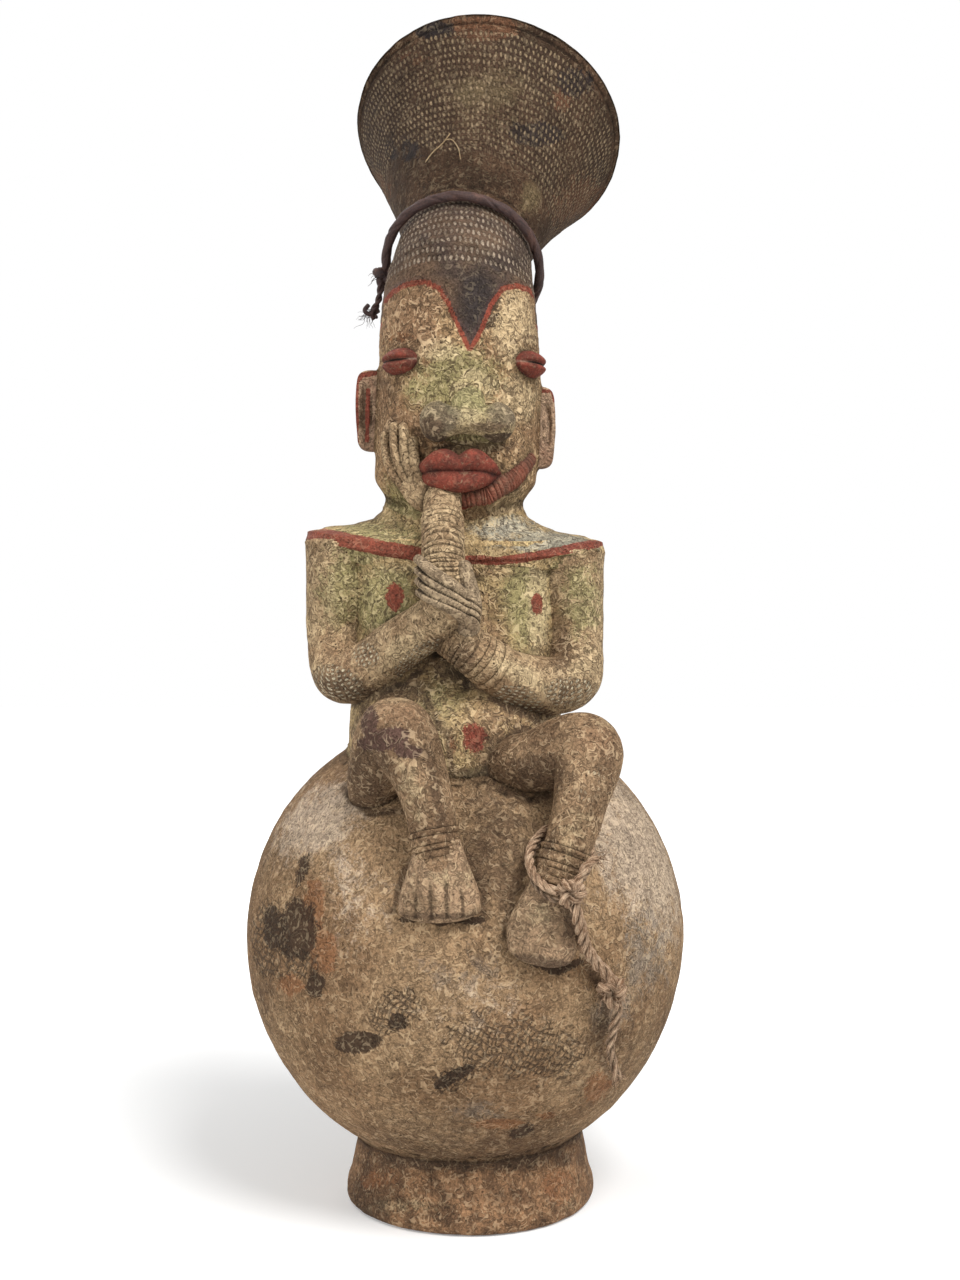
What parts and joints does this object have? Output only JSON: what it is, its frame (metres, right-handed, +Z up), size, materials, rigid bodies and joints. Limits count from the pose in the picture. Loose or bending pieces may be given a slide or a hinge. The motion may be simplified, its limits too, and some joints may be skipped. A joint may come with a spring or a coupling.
{
  "type": "figural clay jar",
  "caption": "Hand-built clay jar on a flared foot, its neck modelled as a seated figure whose tall head opens into a tilted funnel coiffure; leather hoop and fibre rope tied on.",
  "frame": {"origin": "on the floor under the middle of the whole outline, the free rope left out", "axes": "+Z up; the figure faces -Y; +X is the figure's own left"},
  "size_m": [0.242, 0.2772, 0.6645],
  "materials": {
    "tan_clay": "matt low-fired clay, unglazed, worn and earth-crusted",
    "ochre_clay": "matt low-fired clay with traces of ochre and green slip",
    "dark_clay": "matt low-fired clay, smoke-darkened",
    "red_clay": "matt clay with worn red earth colour",
    "thong_leather": "old dry hide, dark",
    "plant_fibre": "twisted plant fibre, dry and dusty"
  },
  "bodies": {
    "jar": {"foot_ring": "tan_clay", "jar_globe": "tan_clay", "torso": "ochre_clay", "shoulder_shelf": "ochre_clay", "head": "ochre_clay", "coiffure": "dark_clay", "right_ear": "tan_clay", "left_ear": "tan_clay", "right_eye": "red_clay", "left_eye": "red_clay", "nose": "ochre_clay", "upper_lip": "red_clay", "lower_lip": "red_clay", "jaw_band": "red_clay", "right_arm": "tan_clay", "left_arm": "tan_clay", "right_hand": "ochre_clay", "left_hand": "tan_clay", "right_leg": "tan_clay", "right_foot": "tan_clay", "left_leg": "tan_clay", "left_foot": "tan_clay", "ankle_loop": "plant_fibre", "ankle_knot": "plant_fibre", "rope_tail": "plant_fibre", "tail_knot": "plant_fibre", "rope_tip": "plant_fibre"},
    "thong": {"thong_hoop": "thong_leather", "thong_knot": "thong_leather", "thong_tail": "thong_leather"}
  },
  "joints": [
    {"name": "thong_swing", "type": "hinge", "parent": "jar", "child": "thong", "pos_m": [-0.003, -0.0311, 0.5484], "axis": [1, 0, 0], "range_deg": [0, 18]}
  ]
}
